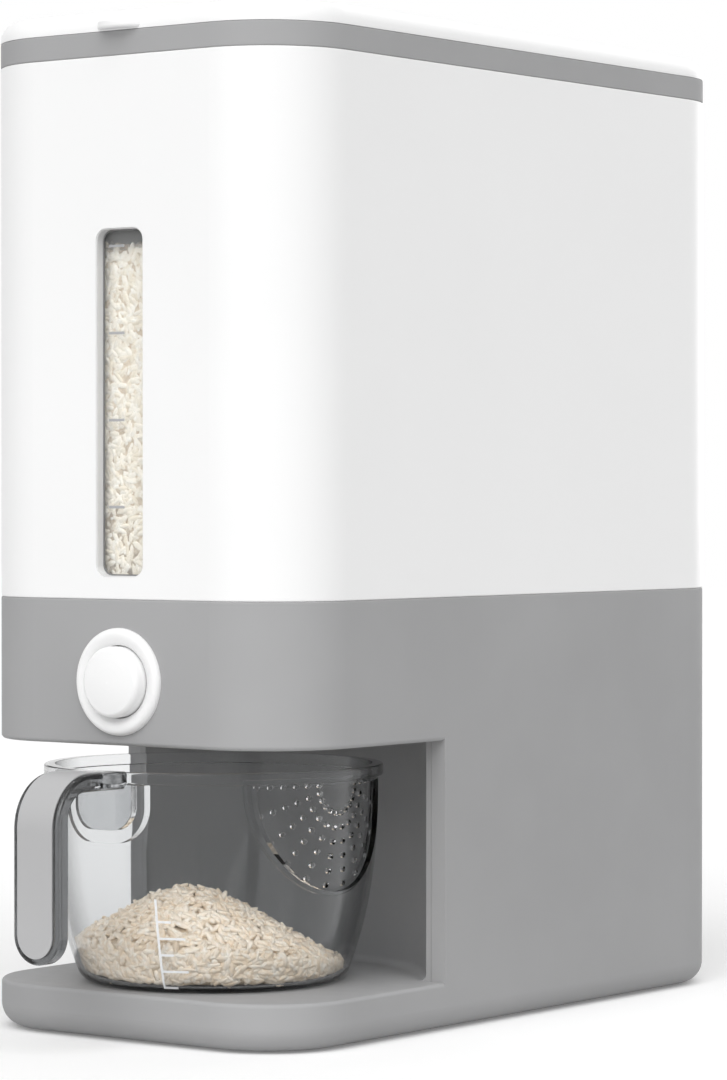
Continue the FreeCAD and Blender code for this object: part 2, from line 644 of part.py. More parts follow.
def button_cap():
    face = FRONT - BEZEL_PROUD - CAP_PROUD
    stop = FRONT + BASE_WALL + BEZEL_BARREL_L + SLIP
    steps = 4
    edge_r = CAP_R - CAP_ROUND
    outline = [(0, face)]
    outline += [(edge_r * s / steps, face + CAP_CROWN * (s / steps) ** 2) for s in range(1, steps + 1)]
    shoulder = face + CAP_CROWN
    outline += [(edge_r + CAP_ROUND * sin(radians(a)), shoulder + CAP_ROUND * (1 - cos(radians(a))))
                for a in range(15, 91, 15)]
    inner, under = CAP_R - CAP_WALL, shoulder + CAP_ROUND
    stop_end = stop + CAP_STOP_T
    outline += [(CAP_R, stop), (CAP_STOP_R, stop), (CAP_STOP_R, stop_end), (inner, stop_end),
                (inner, under), (0, under)]
    shell = turned(outline, Y_AXIS, (0, 0, BUTTON_Z))
    boss_end = ARM_FRONT - SLIP
    bore_r = STEM_R + STEM_FIT
    boss = cylinder(bore_r + CAP_BOSS_WALL, (0, under - LAP, BUTTON_Z), (0, boss_end, BUTTON_Z))
    bore_start = ARM_FRONT - STEM_L - STEM_END_GAP
    bore = cylinder(bore_r, (0, bore_start, BUTTON_Z), (0, boss_end + PAST, BUTTON_Z))
    return fused(shell, boss).cut(bore)


def gate_slide():
    plate = box(-GATE_W / 2, GATE_W / 2, ARM_FRONT, GATE_BACK, GATE_Z, GATE_Z + GATE_T)
    hole = box(-GATE_HOLE_W / 2, GATE_HOLE_W / 2, GATE_HOLE_FRONT, GATE_HOLE_BACK,
               GATE_Z - PAST, GATE_Z + GATE_T + PAST)
    arm_top = BUTTON_Z + STEM_R + ARM_ABOVE_STEM
    arm = box(-ARM_W / 2, ARM_W / 2, ARM_FRONT, ARM_BACK, GATE_Z, arm_top)
    stem = cylinder(STEM_R, (0, ARM_FRONT - STEM_L, BUTTON_Z), (0, ARM_BACK, BUTTON_Z))
    tail = box(-TAIL_W / 2, TAIL_W / 2, GATE_BACK - TAIL_T, GATE_BACK, GATE_Z, GATE_Z + TAIL_H)
    rod_hole = cylinder(ROD_R + ROD_FIT, (0, GATE_BACK - TAIL_T - PAST, ROD_Z), (0, GATE_BACK + PAST, ROD_Z))
    return fused(plate.cut(hole), arm, stem, tail).cut(rod_hole)


def gate_guide():
    half = GATE_W / 2 + SLIP + GUIDE_RAIL_W
    low = HEAD_BOTTOM + BASE_WALL
    front, back = ARM_BACK + GUIDE_LEAD, STOP_FRONT + STOP_T
    floor = box(-half, half, front, back, low, GUIDE_TOP)
    rails = [box(min(s * half, s * (half - GUIDE_RAIL_W)), max(s * half, s * (half - GUIDE_RAIL_W)),
                 FLANGE_FRONT, back, GUIDE_TOP - LAP, THROAT_Z) for s in (-1, 1)]
    stop_top = GATE_Z + TAIL_H + STOP_ABOVE_TAIL
    stop = box(-STOP_W / 2, STOP_W / 2, STOP_FRONT, back, GUIDE_TOP - LAP, stop_top)
    rod_hole = cylinder(ROD_R, (0, STOP_FRONT - PAST, ROD_Z), (0, back + PAST, ROD_Z))
    nozzle_hole = nozzle_box(NOZZLE_WALL + NOZZLE_FIT, low - PAST, GUIDE_TOP + PAST)
    return fused(floor, stop, *rails).cut([rod_hole, nozzle_hole])


def spring_guide_rod():
    return cylinder(ROD_R, (0, GATE_BACK - TAIL_T - ROD_LEAD, ROD_Z), (0, STOP_FRONT + STOP_T, ROD_Z))


def return_spring():
    """Round-wire compression spring on the guide rod, with its ends cut square."""
    length = SPRING_L - 2 * (SPRING_WIRE_R + SPRING_END_GAP)
    path = Part.makeHelix(length / SPRING_TURNS, length, SPRING_R)
    circle = Part.Wire(Part.makeCircle(SPRING_WIRE_R, V(SPRING_R, 0, 0), Y_AXIS))
    coil = Part.Wire(path).makePipeShell([circle], True, True)
    coil.rotate(V(0, 0, 0), X_AXIS, -90)
    coil.translate(V(0, GATE_BACK + SPRING_WIRE_R + SPRING_END_GAP, ROD_Z))
    return coil


def outlet_nozzle():
    low = HEAD_BOTTOM - NOZZLE_DROP
    tube = nozzle_box(NOZZLE_WALL, low, GUIDE_TOP)
    rim = nozzle_box(NOZZLE_WALL + NOZZLE_RIM, low, HEAD_BOTTOM)
    upright = [e for e in rim.Edges if abs(e.BoundBox.ZLength - NOZZLE_DROP) < TOL]
    rim = rounded(rim, NOZZLE_RIM, upright)
    return fused(tube, rim).cut(nozzle_box(0, low - PAST, GUIDE_TOP + PAST))


def throat_screws():
    z = THROAT_Z + THROAT_FLANGE_T
    return Part.makeCompound([screw(x, y, z, z - THROAT_SCREW_TIP, up=False) for x, y in post_places()])


# ---- measuring cup ----
def belly_radius(height):
    """Outside radius of the cup at a height above its foot."""
    left = max(0.0, 1 - height / CUP_BELLY_H)
    return CUP_R - CUP_BELLY * left ** CUP_BELLY_POWER


def wall_edge(shrink, low, high):
    """The cup's side outline, moved inwards by shrink, between two heights above its foot."""
    steps = 8
    heights = [low + (high - low) * i / steps for i in range(steps + 1)]
    curve = Part.BSplineCurve()
    curve.interpolate([V(belly_radius(h) - shrink, 0, TRAY_TOP + h) for h in heights])
    return curve.toShape()


def bowl_edges(shrink, floor, high, corner):
    """Half of a bowl's outline: its flat floor, its rounded corner and its side."""
    start = V(belly_radius(floor) - shrink - corner, 0, TRAY_TOP + floor)
    end = V(belly_radius(floor + corner) - shrink, 0, TRAY_TOP + floor + corner)
    reach = end.x - start.x
    radius = (reach ** 2 + corner ** 2) / (2 * corner)
    half_turn = asin(reach / radius) / 2
    middle = start + V(radius * sin(half_turn), 0, radius * (1 - cos(half_turn)))
    return [Part.makeLine(V(0, 0, start.z), start), Part.Arc(start, middle, end).toShape(),
            wall_edge(shrink, floor + corner, high)]


def about_cup_axis(edges):
    shape = Part.Face(Part.Wire(Part.__sortEdges__(edges))).revolve(V(0, 0, 0), Z_AXIS, 360)
    shape.translate(V(0, CUP_Y, 0))
    return shape


def cup_form(shrink, low, high):
    """Solid inside the cup's side surface, moved inwards by shrink, between two heights of the cup."""
    low_z, high_z = TRAY_TOP + low, TRAY_TOP + high
    first, last = belly_radius(low) - shrink, belly_radius(high) - shrink
    return about_cup_axis([Part.makeLine(V(0, 0, low_z), V(first, 0, low_z)), wall_edge(shrink, low, high),
                           Part.makeLine(V(last, 0, high_z), V(0, 0, high_z)),
                           Part.makeLine(V(0, 0, high_z), V(0, 0, low_z))])


def cup_body():
    rim_low = CUP_RIM - RIM_H
    r, bulge = RIM_ROUND, RIM_ROUND * (1 - cos(pi / 4))
    under = V(belly_radius(CUP_H - RIM_H), 0, rim_low)
    lip = [under, V(RIM_R - r, 0, rim_low), V(RIM_R, 0, rim_low + r), V(RIM_R, 0, CUP_RIM - r),
           V(RIM_R - r, 0, CUP_RIM), V(belly_radius(CUP_H) - CUP_WALL, 0, CUP_RIM)]
    edges = bowl_edges(0, 0, CUP_H - RIM_H, CUP_FOOT_ROUND)
    low_turn = Part.Arc(lip[1], V(RIM_R - bulge, 0, rim_low + bulge), lip[2])
    high_turn = Part.Arc(lip[3], V(RIM_R - bulge, 0, CUP_RIM - bulge), lip[4])
    edges += [Part.makeLine(lip[0], lip[1]), low_turn.toShape(), Part.makeLine(lip[2], lip[3]),
              high_turn.toShape(), Part.makeLine(lip[4], lip[5])]
    edges += bowl_edges(CUP_WALL, CUP_FLOOR, CUP_H, CUP_INNER_ROUND)
    edges.append(Part.makeLine(V(0, 0, TRAY_TOP), V(0, 0, TRAY_TOP + CUP_FLOOR)))
    return about_cup_axis(edges)


def socket_slot(shrink):
    """Front view of the socket that takes the handle's root, run back through the cup's front wall."""
    top = CUP_RIM - RIM_H
    low = top - SOCKET_DROP + shrink
    radius = SOCKET_R - shrink
    high = top + 3 * radius
    slot = upright_slot(SOCKET_W - 2 * shrink, high - low, radius, CUP_Y - 2 * RIM_R, CUP_Y - RIM_R / 2,
                        0, (high + low) / 2)
    return slot.common(box(-FAR, FAR, -FAR, FAR, 0, top))


def strainer_slot(radius):
    """Side view of the strainer: a half disc under a short straight part, wrapped on the cup's wall."""
    wall_r = CUP_R - CUP_WALL
    half = wall_r * sin(radius / wall_r)
    z = CUP_RIM - RIM_H - STRAINER_DROP
    sides = 24
    outline = [(0, CUP_Y - half * cos(pi * i / sides), z - radius * sin(pi * i / sides))
               for i in range(sides + 1)]
    disc = prism(outline, (FAR, 0, 0))
    return disc, box(0, FAR, CUP_Y - half, CUP_Y + half, z, z + STRAINER_TOP)


def measuring_cup():
    rib = cup_form(-SOCKET_T, 0, CUP_H).common(socket_slot(0)).cut(socket_slot(SOCKET_RIB))
    rib = rib.cut(cup_form(CUP_WALL / 2, -PAST, CUP_H + PAST))
    window, _ = strainer_slot(STRAINER_R - STRAINER_LAP)
    return fused(cup_body(), rib).cut(window)


def hook_band(outside, inside, inner_r, width, arm_y, foot_z):
    """Band between two offsets of the hook's outer face, as wide as width, ending at arm_y and foot_z."""
    def corner(offset, radius):
        face, top = CUP_Y - HANDLE_REACH + offset, CUP_RIM + HANDLE_TOP - offset
        cy, cz = face + radius, top - radius
        mid = V(0, cy - radius * cos(pi / 4), cz + radius * sin(pi / 4))
        return V(0, face, cz), mid, V(0, cy, top)

    f0, m0, t0 = corner(outside, HANDLE_OUTER_R - outside)
    f1, m1, t1 = corner(inside, inner_r)
    foot0, foot1 = V(0, f0.y, foot_z), V(0, f1.y, foot_z)
    arm0, arm1 = V(0, arm_y, t0.z), V(0, arm_y, t1.z)
    edges = [Part.makeLine(foot0, f0), Part.Arc(f0, m0, t0).toShape(), Part.makeLine(t0, arm0),
             Part.makeLine(arm0, arm1), Part.makeLine(arm1, t1), Part.Arc(t1, m1, f1).toShape(),
             Part.makeLine(f1, foot1), Part.makeLine(foot1, foot0)]
    face = Part.Face(Part.Wire(edges))
    face.translate(V(-width / 2, 0, 0))
    return face.extrude(V(width, 0, 0))


def rounded_foot(width, foot_z):
    """Front view of the grip, round at its lower end."""
    top = CUP_RIM + HANDLE_H
    return upright_slot(width, top - foot_z, width / 2 - TOL, CUP_Y - 2 * HANDLE_REACH, CUP_Y, 0,
                        (top + foot_z) / 2)


def grip_form(fit):
    foot = CUP_RIM + HANDLE_TOP - HANDLE_H + (HANDLE_W - GRIP_W) / 2 - fit
    arm_y = CUP_Y - HANDLE_REACH + HANDLE_OUTER_R + GRIP_ARM_L + fit
    inside = GRIP_DEPTH + fit
    band = hook_band(-GRIP_PROUD, inside, HANDLE_OUTER_R - inside, GRIP_W + 2 * fit, arm_y, foot)
    return band.common(rounded_foot(GRIP_W + 2 * fit, foot))


def cup_handle():
    foot = CUP_RIM + HANDLE_TOP - HANDLE_H
    hook = hook_band(0, HANDLE_T, HANDLE_INNER_R, HANDLE_W, CUP_Y - CUP_R + HANDLE_INTO_WALL, foot)
    hook = hook.common(rounded_foot(HANDLE_W, foot))
    flat = [e for e in hook.Edges
            if abs(abs(e.CenterOfMass.x) - HANDLE_W / 2) < TOL or e.BoundBox.ZMax < foot + HANDLE_W / 2 + LAP]
    hook = rounded(hook, HANDLE_ROUND, flat)
    root = cup_form(-SOCKET_T, 0, CUP_H).common(socket_slot(SOCKET_RIB + FIT))
    wall = cup_form(-GRIP_FIT, -PAST, CUP_H + PAST)
    rim = cylinder(RIM_R + GRIP_FIT, (0, CUP_Y, CUP_RIM - RIM_H), (0, CUP_Y, CUP_RIM + RIM_H))
    return fused(hook, root).cut([wall, rim, grip_form(GRIP_FIT)])


def handle_grip():
    return grip_form(0)


def strainer_holes():
    """Holes on half rings about the middle of the strainer's top edge, bored square to the wall."""
    wall_r = CUP_R - CUP_WALL
    z0 = CUP_RIM - RIM_H - STRAINER_DROP
    holes = []
    for i in range(HOLE_RINGS):
        reach = STRAINER_R - HOLE_MARGIN - i * HOLE_RING_PITCH
        for j in range(HOLES_PER_RING):
            turn = pi * j / (HOLES_PER_RING - 1)
            around = reach * cos(turn) / wall_r
            z = z0 - reach * sin(turn)
            run = V(cos(around), sin(around), 0)
            start = V(0, CUP_Y, z) + run * (wall_r / 2)
            holes.append(Part.makeCylinder(HOLE_R, CUP_R, start, run))
    return holes


def cup_strainer():
    inside = CUP_WALL + GRIP_FIT
    core = cup_form(inside + STRAINER_T, CUP_FLOOR - PAST, CUP_H + PAST)
    sheet = cup_form(inside, CUP_FLOOR, CUP_H).cut(core)
    disc, top = strainer_slot(STRAINER_R)
    return sheet.common(disc.fuse(top).removeSplitter()).cut(strainer_holes())


NODES = {
    "base_shell": base_shell,
    "bay_liner": bay_liner,
    "base_plate": base_plate,
    "rubber_feet": rubber_feet,
    "base_screws": base_screws,
    "hopper_shell": hopper_shell,
    "sight_window": sight_window,
    "hopper_funnel": hopper_funnel,
    "funnel_seal": funnel_seal,
    "hopper_screws": hopper_screws,
    "collar_frame": collar_frame,
    "lid": lid,
    "lid_seal": lid_seal,
    "lid_hinge_pins": lid_hinge_pins,
    "button_bezel": button_bezel,
    "button_cap": button_cap,
    "gate_slide": gate_slide,
    "gate_guide": gate_guide,
    "spring_guide_rod": spring_guide_rod,
    "return_spring": return_spring,
    "outlet_nozzle": outlet_nozzle,
    "throat_screws": throat_screws,
    "measuring_cup": measuring_cup,
    "cup_handle": cup_handle,
    "handle_grip": handle_grip,
    "cup_strainer": cup_strainer,
}

os.makedirs("parts", exist_ok=True)
for name, make in NODES.items():
    shape = make()
    shape.exportStep(f"parts/{name}.step")
    b = shape.BoundBox
    print(f"{name:18s} solids {len(shape.Solids)} valid {shape.isValid()} volume {shape.Volume:10.0f} "
          f"x {b.XMin:.1f} {b.XMax:.1f} y {b.YMin:.1f} {b.YMax:.1f} z {b.ZMin:.1f} {b.ZMax:.1f}")
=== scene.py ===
"""Looks of the rice dispenser: materials, rice, marks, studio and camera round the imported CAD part."""

import math

import bpy
import numpy as np
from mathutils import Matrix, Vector
from mathutils.bvhtree import BVHTree


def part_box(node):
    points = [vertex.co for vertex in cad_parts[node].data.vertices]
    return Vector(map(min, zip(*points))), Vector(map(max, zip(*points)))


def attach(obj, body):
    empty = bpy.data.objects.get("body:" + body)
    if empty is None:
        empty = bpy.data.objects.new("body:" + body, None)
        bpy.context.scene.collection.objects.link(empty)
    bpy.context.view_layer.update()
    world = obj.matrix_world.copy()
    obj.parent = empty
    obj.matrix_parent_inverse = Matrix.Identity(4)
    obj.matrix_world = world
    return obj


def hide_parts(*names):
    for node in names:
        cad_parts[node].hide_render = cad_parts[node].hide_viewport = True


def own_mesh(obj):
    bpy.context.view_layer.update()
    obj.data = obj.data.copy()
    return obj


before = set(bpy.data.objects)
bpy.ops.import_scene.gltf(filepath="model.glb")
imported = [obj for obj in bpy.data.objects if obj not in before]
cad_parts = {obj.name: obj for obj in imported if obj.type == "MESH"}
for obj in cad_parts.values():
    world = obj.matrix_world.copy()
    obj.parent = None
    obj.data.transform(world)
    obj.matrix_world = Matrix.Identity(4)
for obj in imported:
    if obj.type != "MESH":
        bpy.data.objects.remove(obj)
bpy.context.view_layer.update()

MM = 0.001

# ---- camera: place, direction and lens of the photograph ----
CAMERA_PLACE = (0.98292, -1.30656, 0.2092)
CAMERA_AZIMUTH = 37.0       # degrees from the front view towards the right side
CAMERA_PITCH = 0.705        # degrees below the horizon
SENSOR = 36.0               # millimetres, as the lens
LENS = 133.33
CAMERA_CLIP = (0.05, 50.0)

# ---- studio ----
FLOOR_SIZE = 12.0
FLOOR_TONE = 0.80
FLOOR_DRIFT = 0.99          # the floor's darkest tone, as a share of its own
FLOOR_PATCH = 0.5
FLOOR_LIFT = 0.20           # what brings the lit floor to white for the camera
ROOM_LIGHT = 0.36
# name: azimuth from the front towards the right, height and softness, all in degrees, then strength
LAMPS = {
    "key": (38.0, 50.0, 60.0, 2.10),
    "front": (0.0, 30.0, 60.0, 0.62),
    "back": (185.0, 15.0, 50.0, 0.90),
}

# ---- rice: one grain ----
SEED = 11
GRAIN_LENGTH = 6.0 * MM
GRAIN_WIDTH = 2.6 * MM
GRAIN_FLATNESS = 0.75
GRAIN_BLUNTNESS = 3.2       # 2 is an ellipsoid, more is blunter
GRAIN_SIDES = 6
GRAIN_RINGS = 4
SIZE_SPREAD = 0.15          # of a grain's own size, along each of its axes
SIZE_LIMIT = 0.25
TIP_REACH = GRAIN_LENGTH * 0.56     # from a grain's middle to its end, for most grains

# ---- rice: how grains lie ----
RICE_GAP = 0.3 * MM         # from the rice to any wall
SLOPE_STEP = 1.0 * MM       # over which the slope under a grain is measured
HEAP_LEAN = 0.42            # how far grains tilt out of the surface they lie on, in radians
WALL_LEAN = 0.10
HEAP_LIFT = (0.0, 0.55)     # from the bed up to a grain's middle, in grain widths
FILL_LIFT = (0.0, 0.5)
WALL_DEPTH = (0.45, 0.7)    # from the cup's wall in to a grain's middle, in grain widths
PANE_DEPTH = (0.62, 1.0)
TIP_WALL_GAP = GRAIN_WIDTH * 0.2
TIP_FLOOR_GAP = GRAIN_WIDTH / 3

# ---- rice in the cup ----
HEAP_TOP = 55.0 * MM
HEAP_AHEAD = 16.0 * MM      # from the cup's axis to the heap's top, towards the front
HEAP_SLOPE = 0.61
HEAP_BLUNT = 12.0 * MM
HEAP_GRAINS = 2600
HEAP_WALL_GRAINS = 2300
HEAP_SIDES = 96
HEAP_RINGS = 20
HEAP_WALL_RINGS = 8
EDGE_ROUNDS = 8             # of closing in on where the heap meets the wall
CUP_LEVELS = 60             # heights at which the cup's wall is measured
PLAIN_WALL_AZIMUTH = 180.0  # degrees round the cup's axis from +X, clear of strainer and handle

# ---- rice in the hopper ----
FILL_LEVEL = 300.0 * MM
FILL_DROP = 6.0 * MM        # how far the filling falls towards the hopper's walls
FILL_WALL_T = 2.5 * MM
FILL_CORNER_R = 33.0 * MM
FILL_SIDES = 160
FILL_RINGS = 14
FILL_GRAINS = 3700
FILL_GRAIN_GAP = GRAIN_LENGTH * 0.6     # from the walls to the middle of a grain on top
HALVINGS = 40               # of closing in on the outline
WINDOW_GRAINS = 2000
WINDOW_ZONE = 2.4 * MM      # how far beyond the pane the filling stays behind it

# ---- printed marks ----
MARK_T = 0.12 * MM
MARK_LIFT = MARK_T / 4      # from the wall to the back of a mark, so that the two stay apart
LEVEL_MARK_L = 7.6 * MM
LEVEL_MARK_W = 1.0 * MM
LEVEL_MARKS = 4
LEVEL_MARK_TOP = 302.0 * MM
LEVEL_MARK_PITCH = 33.0 * MM
LEVEL_MARK_INSET = 5.8 * MM     # from the pane's left edge
SCALE_AZIMUTH = -71.3       # degrees round the cup's axis from +X
SCALE_LOW = 21.3 * MM
SCALE_HIGH = 56.0 * MM
SCALE_W = 0.9 * MM
SCALE_PITCH = 6.4 * MM
SCALE_TICKS = 5
SCALE_MESH = (1.0 * MM, 2.0 * MM)   # size of its faces, across and upright
TICK_SHORT = 5.0 * MM
TICK_LONG = 10.0 * MM

# ---- trim round the window's slot, and a bead of painted shadow where the pane meets it ----
PANE_LAP = 2.8 * MM         # the pane's edge behind the shell
SLOT_CORNER_R = 4.8 * MM
# the bead is painted shadow: a dark ring where the pane meets the trim, standing in for the shadow gap
# there
SHADOW_BEAD_W = 0.55 * MM
SHADOW_BEAD_PROUD = 0.5 * MM
SLOT_LINING_FIT = 0.05 * MM
SLOT_CORNER_STEPS = 8
TRIM_W = 0.35 * MM
TRIM_SHORT = 0.4 * MM       # how far the trim stays behind the shell's front

# ---- spring ----
SPRING_WIRE_R = 0.4 * MM
SPRING_TURNS = 7
SPRING_TURN_STEPS = 24
SPRING_SIDES = 8

# ---- looks: sizes and depths of what a surface shows ----
TONE_PATCH = 60.0 * MM      # moulded plastic and rubber
HANDLED_PATCH = 9.0 * MM
SKIN_GRAIN = 0.45 * MM
SKIN_DEPTH = 0.006 * MM
FLOW_PATCH = 22.0 * MM      # clear plastic
FLOW_DEPTH = 0.05 * MM
CLEAR_COAT = 0.15
CLEAR_COAT_ROUGHNESS = 0.02
# the darkening of clear plastic seen edge on is painted shade
EDGE_ON = (0.45, 0.85)      # from facing to edge on, where clear plastic gets darker
HOOK_FADE = 6.0 * MM        # over which the handle's smoky tint clears towards the cup
BRUSH_GRAIN = 0.3 * MM      # metal
BRUSH_DEPTH = 0.01 * MM
METAL_PATCH = 4.0 * MM
METAL_TONE = 0.1
CHALK_PATCH = 2.4 * MM      # rice
CHALK_SHARE = 0.75
RIDGE_GRAIN = 0.7 * MM
RIDGE_DEPTH = 0.03 * MM
BED_CELL = 3.4 * MM
BED_PATCH = 2.0 * MM
BED_DEPTH = 0.8 * MM

# CAD nodes with a look of their own, apart from their slot's
OWN_LOOKS = {"cup_strainer": "strainer", "sight_window": "pane"}

rng = np.random.default_rng(SEED)


# ---- mesh helpers ----
def new_piece(name, verts, faces, body, smooth=True):
    """Object that moves with a body of the part."""
    mesh = bpy.data.meshes.new(name)
    mesh.from_pydata([tuple(v) for v in verts], [], faces)
    mesh.update()
    if smooth:
        mesh.polygons.foreach_set("use_smooth", [True] * len(mesh.polygons))
    piece = bpy.data.objects.new(name, mesh)
    bpy.context.scene.collection.objects.link(piece)
    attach(piece, body)
    return piece


def surface_of(node):
    """Ray-testable copy of a CAD node's surface."""
    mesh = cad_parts[node].data
    return BVHTree.FromPolygons([v.co for v in mesh.vertices], [p.vertices for p in mesh.polygons])


def closed_rings(rings):
    """Vertices and faces of a closed form lofted through rings of points, with fans on both ends."""
    count = len(rings[0])
    verts = [p for ring in rings for p in ring]
    faces = []
    for i in range(len(rings) - 1):
        for k in range(count):
            n = (k + 1) % count
            faces.append((i * count + k, i * count + n, (i + 1) * count + n, (i + 1) * count + k))
    for ring, flip in ((0, True), (len(rings) - 1, False)):
        centre = len(verts)
        verts.append(tuple(np.mean(np.array(rings[ring]), axis=0)))
        for k in range(count):
            a, b = ring * count + k, ring * count + (k + 1) % count
            faces.append((b, a, centre) if flip else (a, b, centre))
    return verts, faces


# ---- rice ----
def grain_form():
    """Vertices and faces of one grain along X, blunt at both ends."""
    rings = []
    for i in range(GRAIN_RINGS):
        share = -1 + 2 * (i + 0.5) / GRAIN_RINGS
        along = math.sin(share * math.pi / 2)
        radius = (1 - abs(along) ** GRAIN_BLUNTNESS) ** 0.5
        turns = [2 * math.pi * k / GRAIN_SIDES for k in range(GRAIN_SIDES)]
        rings.append([(along * GRAIN_LENGTH / 2,
                       radius * GRAIN_WIDTH / 2 * math.cos(turn),
                       radius * GRAIN_WIDTH / 2 * GRAIN_FLATNESS * math.sin(turn))
                      for turn in turns])
    verts, faces = closed_rings(rings)
    verts = np.array(verts)
    verts[-2, 0], verts[-1, 0] = -GRAIN_LENGTH / 2, GRAIN_LENGTH / 2
    return verts, faces


def grain_frame(normal, lean):
    """Axes of a grain that lies on a surface with this normal, turned at random and leaning a little."""
    normal = normal / np.linalg.norm(normal)
    any_way = np.cross(normal, (0.0, 1.0, 0.0) if abs(normal[1]) < 0.9 else (1.0, 0.0, 0.0))
    any_way /= np.linalg.norm(any_way)
    other = np.cross(normal, any_way)
    turn = rng.uniform(0, 2 * math.pi)
    along = math.cos(turn) * any_way + math.sin(turn) * other
    tilt = rng.normal(0, lean)
    along = along * math.cos(tilt) + normal * math.sin(tilt)
    up = normal - along * (normal @ along)
    up /= np.linalg.norm(up)
    return np.array([along, np.cross(up, along), up])


def rice_piece(name, places, body):
    """One mesh of grains; places holds (middle, axes) of each."""
    form, form_faces = grain_form()
    verts, faces = [], []
    for middle, axes in places:
        size = 1 + rng.normal(0, SIZE_SPREAD, 3).clip(-SIZE_LIMIT, SIZE_LIMIT)
        faces += [tuple(i + len(verts) * len(form) for i in face) for face in form_faces]
        verts.append(form * size @ axes + middle)
    return new_piece(name, np.concatenate(verts), faces, body)


class Cup:
    """The measuring cup round its axis: its floor, and its wall at any height."""

    def __init__(self):
        self.surface = surface_of("measuring_cup")
        low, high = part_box("measuring_cup")
        self.axis_y = high.y - (high.x - low.x) / 2
        hit = self.surface.ray_cast(Vector((0, self.axis_y, HEAP_TOP)), Vector((0, 0, -1)))[0]
        self.floor = hit.z + RICE_GAP
        self.heights = np.linspace(self.floor, HEAP_TOP, CUP_LEVELS)
        self.radii = np.array([self.radius(z, PLAIN_WALL_AZIMUTH) for z in self.heights])

    def radius(self, z, azimuth, inside=True):
        """From the axis to the wall's inner side, or to its outer side."""
        way = Vector((math.cos(math.radians(azimuth)), math.sin(math.radians(azimuth)), 0))
        centre = Vector((0, self.axis_y, z))
        start = centre if inside else centre + way
        hit = self.surface.ray_cast(start, way if inside else -way)[0]
        return (hit - centre).length if hit else 0.0

    def rice_radius(self, z):
        """How far from the axis rice reaches at a height."""
        return float(np.interp(z, self.heights, self.radii)) - RICE_GAP

    def place(self, turn, radius):
        return radius * math.cos(turn), self.axis_y + radius * math.sin(turn)

    def heap_height(self, x, y):
        """The heap is a cone with a blunt top, ahead of the cup's axis."""
        away = math.hypot(x, y - (self.axis_y - HEAP_AHEAD))
        return HEAP_TOP - HEAP_SLOPE * (math.hypot(away, HEAP_BLUNT) - HEAP_BLUNT)

    def kept_inside(self, middle, axes):
        """middle, moved until both ends of the grain clear the wall and the floor."""
        for end in (-1, 1):
            tip = middle + axes[0] * end * TIP_REACH
            off_axis = np.array([tip[0], tip[1] - self.axis_y, 0])
            reach = math.hypot(off_axis[0], off_axis[1])
            over = reach - (self.rice_radius(max(tip[2], self.floor)) - TIP_WALL_GAP)
            if over > 0:
                middle = middle - off_axis / reach * over
            middle[2] = max(middle[2], middle[2] + self.floor + TIP_FLOOR_GAP - tip[2])
        return middle


def heap_edge(cup):
    """Turn, radius and height of the points where the heap meets the cup's wall."""
    edge = []
    for k in range(HEAP_SIDES):
        turn = 2 * math.pi * k / HEAP_SIDES
        z = HEAP_TOP / 2
        for _ in range(EDGE_ROUNDS):
            radius = cup.rice_radius(z) - GRAIN_WIDTH / 2
            z = cup.heap_height(*cup.place(turn, radius))
        edge.append((turn, radius, z))
    return edge


def heap_rings(cup, edge, bottom):
    """Rings of the bed: out over the heap's slope, then down the cup's wall."""
    rings = []
    for i in range(1, HEAP_RINGS + 1):
        ring = [cup.place(turn, radius * i / HEAP_RINGS) for turn, radius, _ in edge]
        rings.append([(x, y, cup.heap_height(x, y)) for x, y in ring])
    for i in range(1, HEAP_WALL_RINGS + 1):
        ring = [(turn, z + (bottom - z) * i / HEAP_WALL_RINGS) for turn, _, z in edge]
        rings.append([(*cup.place(turn, cup.rice_radius(z) - GRAIN_WIDTH / 2), z) for turn, z in ring])
    return rings


def on_heap(cup, edge):
    """Middle and axes of a grain on the heap's slope."""
    turn, _, _ = edge[rng.integers(HEAP_SIDES)]
    turn += rng.uniform(0, 2 * math.pi / HEAP_SIDES)
    x, y = cup.place(turn, cup.rice_radius(HEAP_TOP / 2) * math.sqrt(rng.uniform(0, 1)))
    normal = np.array([cup.heap_height(x - SLOPE_STEP, y) - cup.heap_height(x + SLOPE_STEP, y),
                       cup.heap_height(x, y - SLOPE_STEP) - cup.heap_height(x, y + SLOPE_STEP),
                       2 * SLOPE_STEP])
    axes = grain_frame(normal, HEAP_LEAN)
    middle = np.array([x, y, cup.heap_height(x, y)]) + axes[2] * GRAIN_WIDTH * rng.uniform(*HEAP_LIFT)
    return cup.kept_inside(middle, axes), axes


def at_wall(cup, edge, bottom):
    """Middle and axes of a grain that lies against the cup's wall."""
    turn, _, z_edge = edge[rng.integers(HEAP_SIDES)]
    turn += rng.uniform(0, 2 * math.pi / HEAP_SIDES)
    z = rng.uniform(bottom, z_edge)
    below = z - SLOPE_STEP if z - SLOPE_STEP > bottom else z
    lean = (cup.rice_radius(z + SLOPE_STEP) - cup.rice_radius(below)) / (2 * SLOPE_STEP)
    axes = grain_frame(np.array([math.cos(turn), math.sin(turn), -lean]), WALL_LEAN)
    radius = cup.rice_radius(z) - GRAIN_WIDTH * rng.uniform(*WALL_DEPTH)
    return cup.kept_inside(np.array([*cup.place(turn, radius), z]), axes), axes


def make_cup_rice(cup):
    """Heap of rice in the cup: a bed that fills it to the wall, with grains all over."""
    edge = heap_edge(cup)
    bottom = cup.floor + GRAIN_WIDTH / 4
    bed = new_piece("cup_rice_bed", *closed_rings(heap_rings(cup, edge, bottom)), "cup")
    heap = rice_piece("cup_rice_grains", [on_heap(cup, edge) for _ in range(HEAP_GRAINS)], "cup")
    at_walls = [at_wall(cup, edge, bottom) for _ in range(HEAP_WALL_GRAINS)]
    return bed, heap, rice_piece("cup_wall_grains", at_walls, "cup")


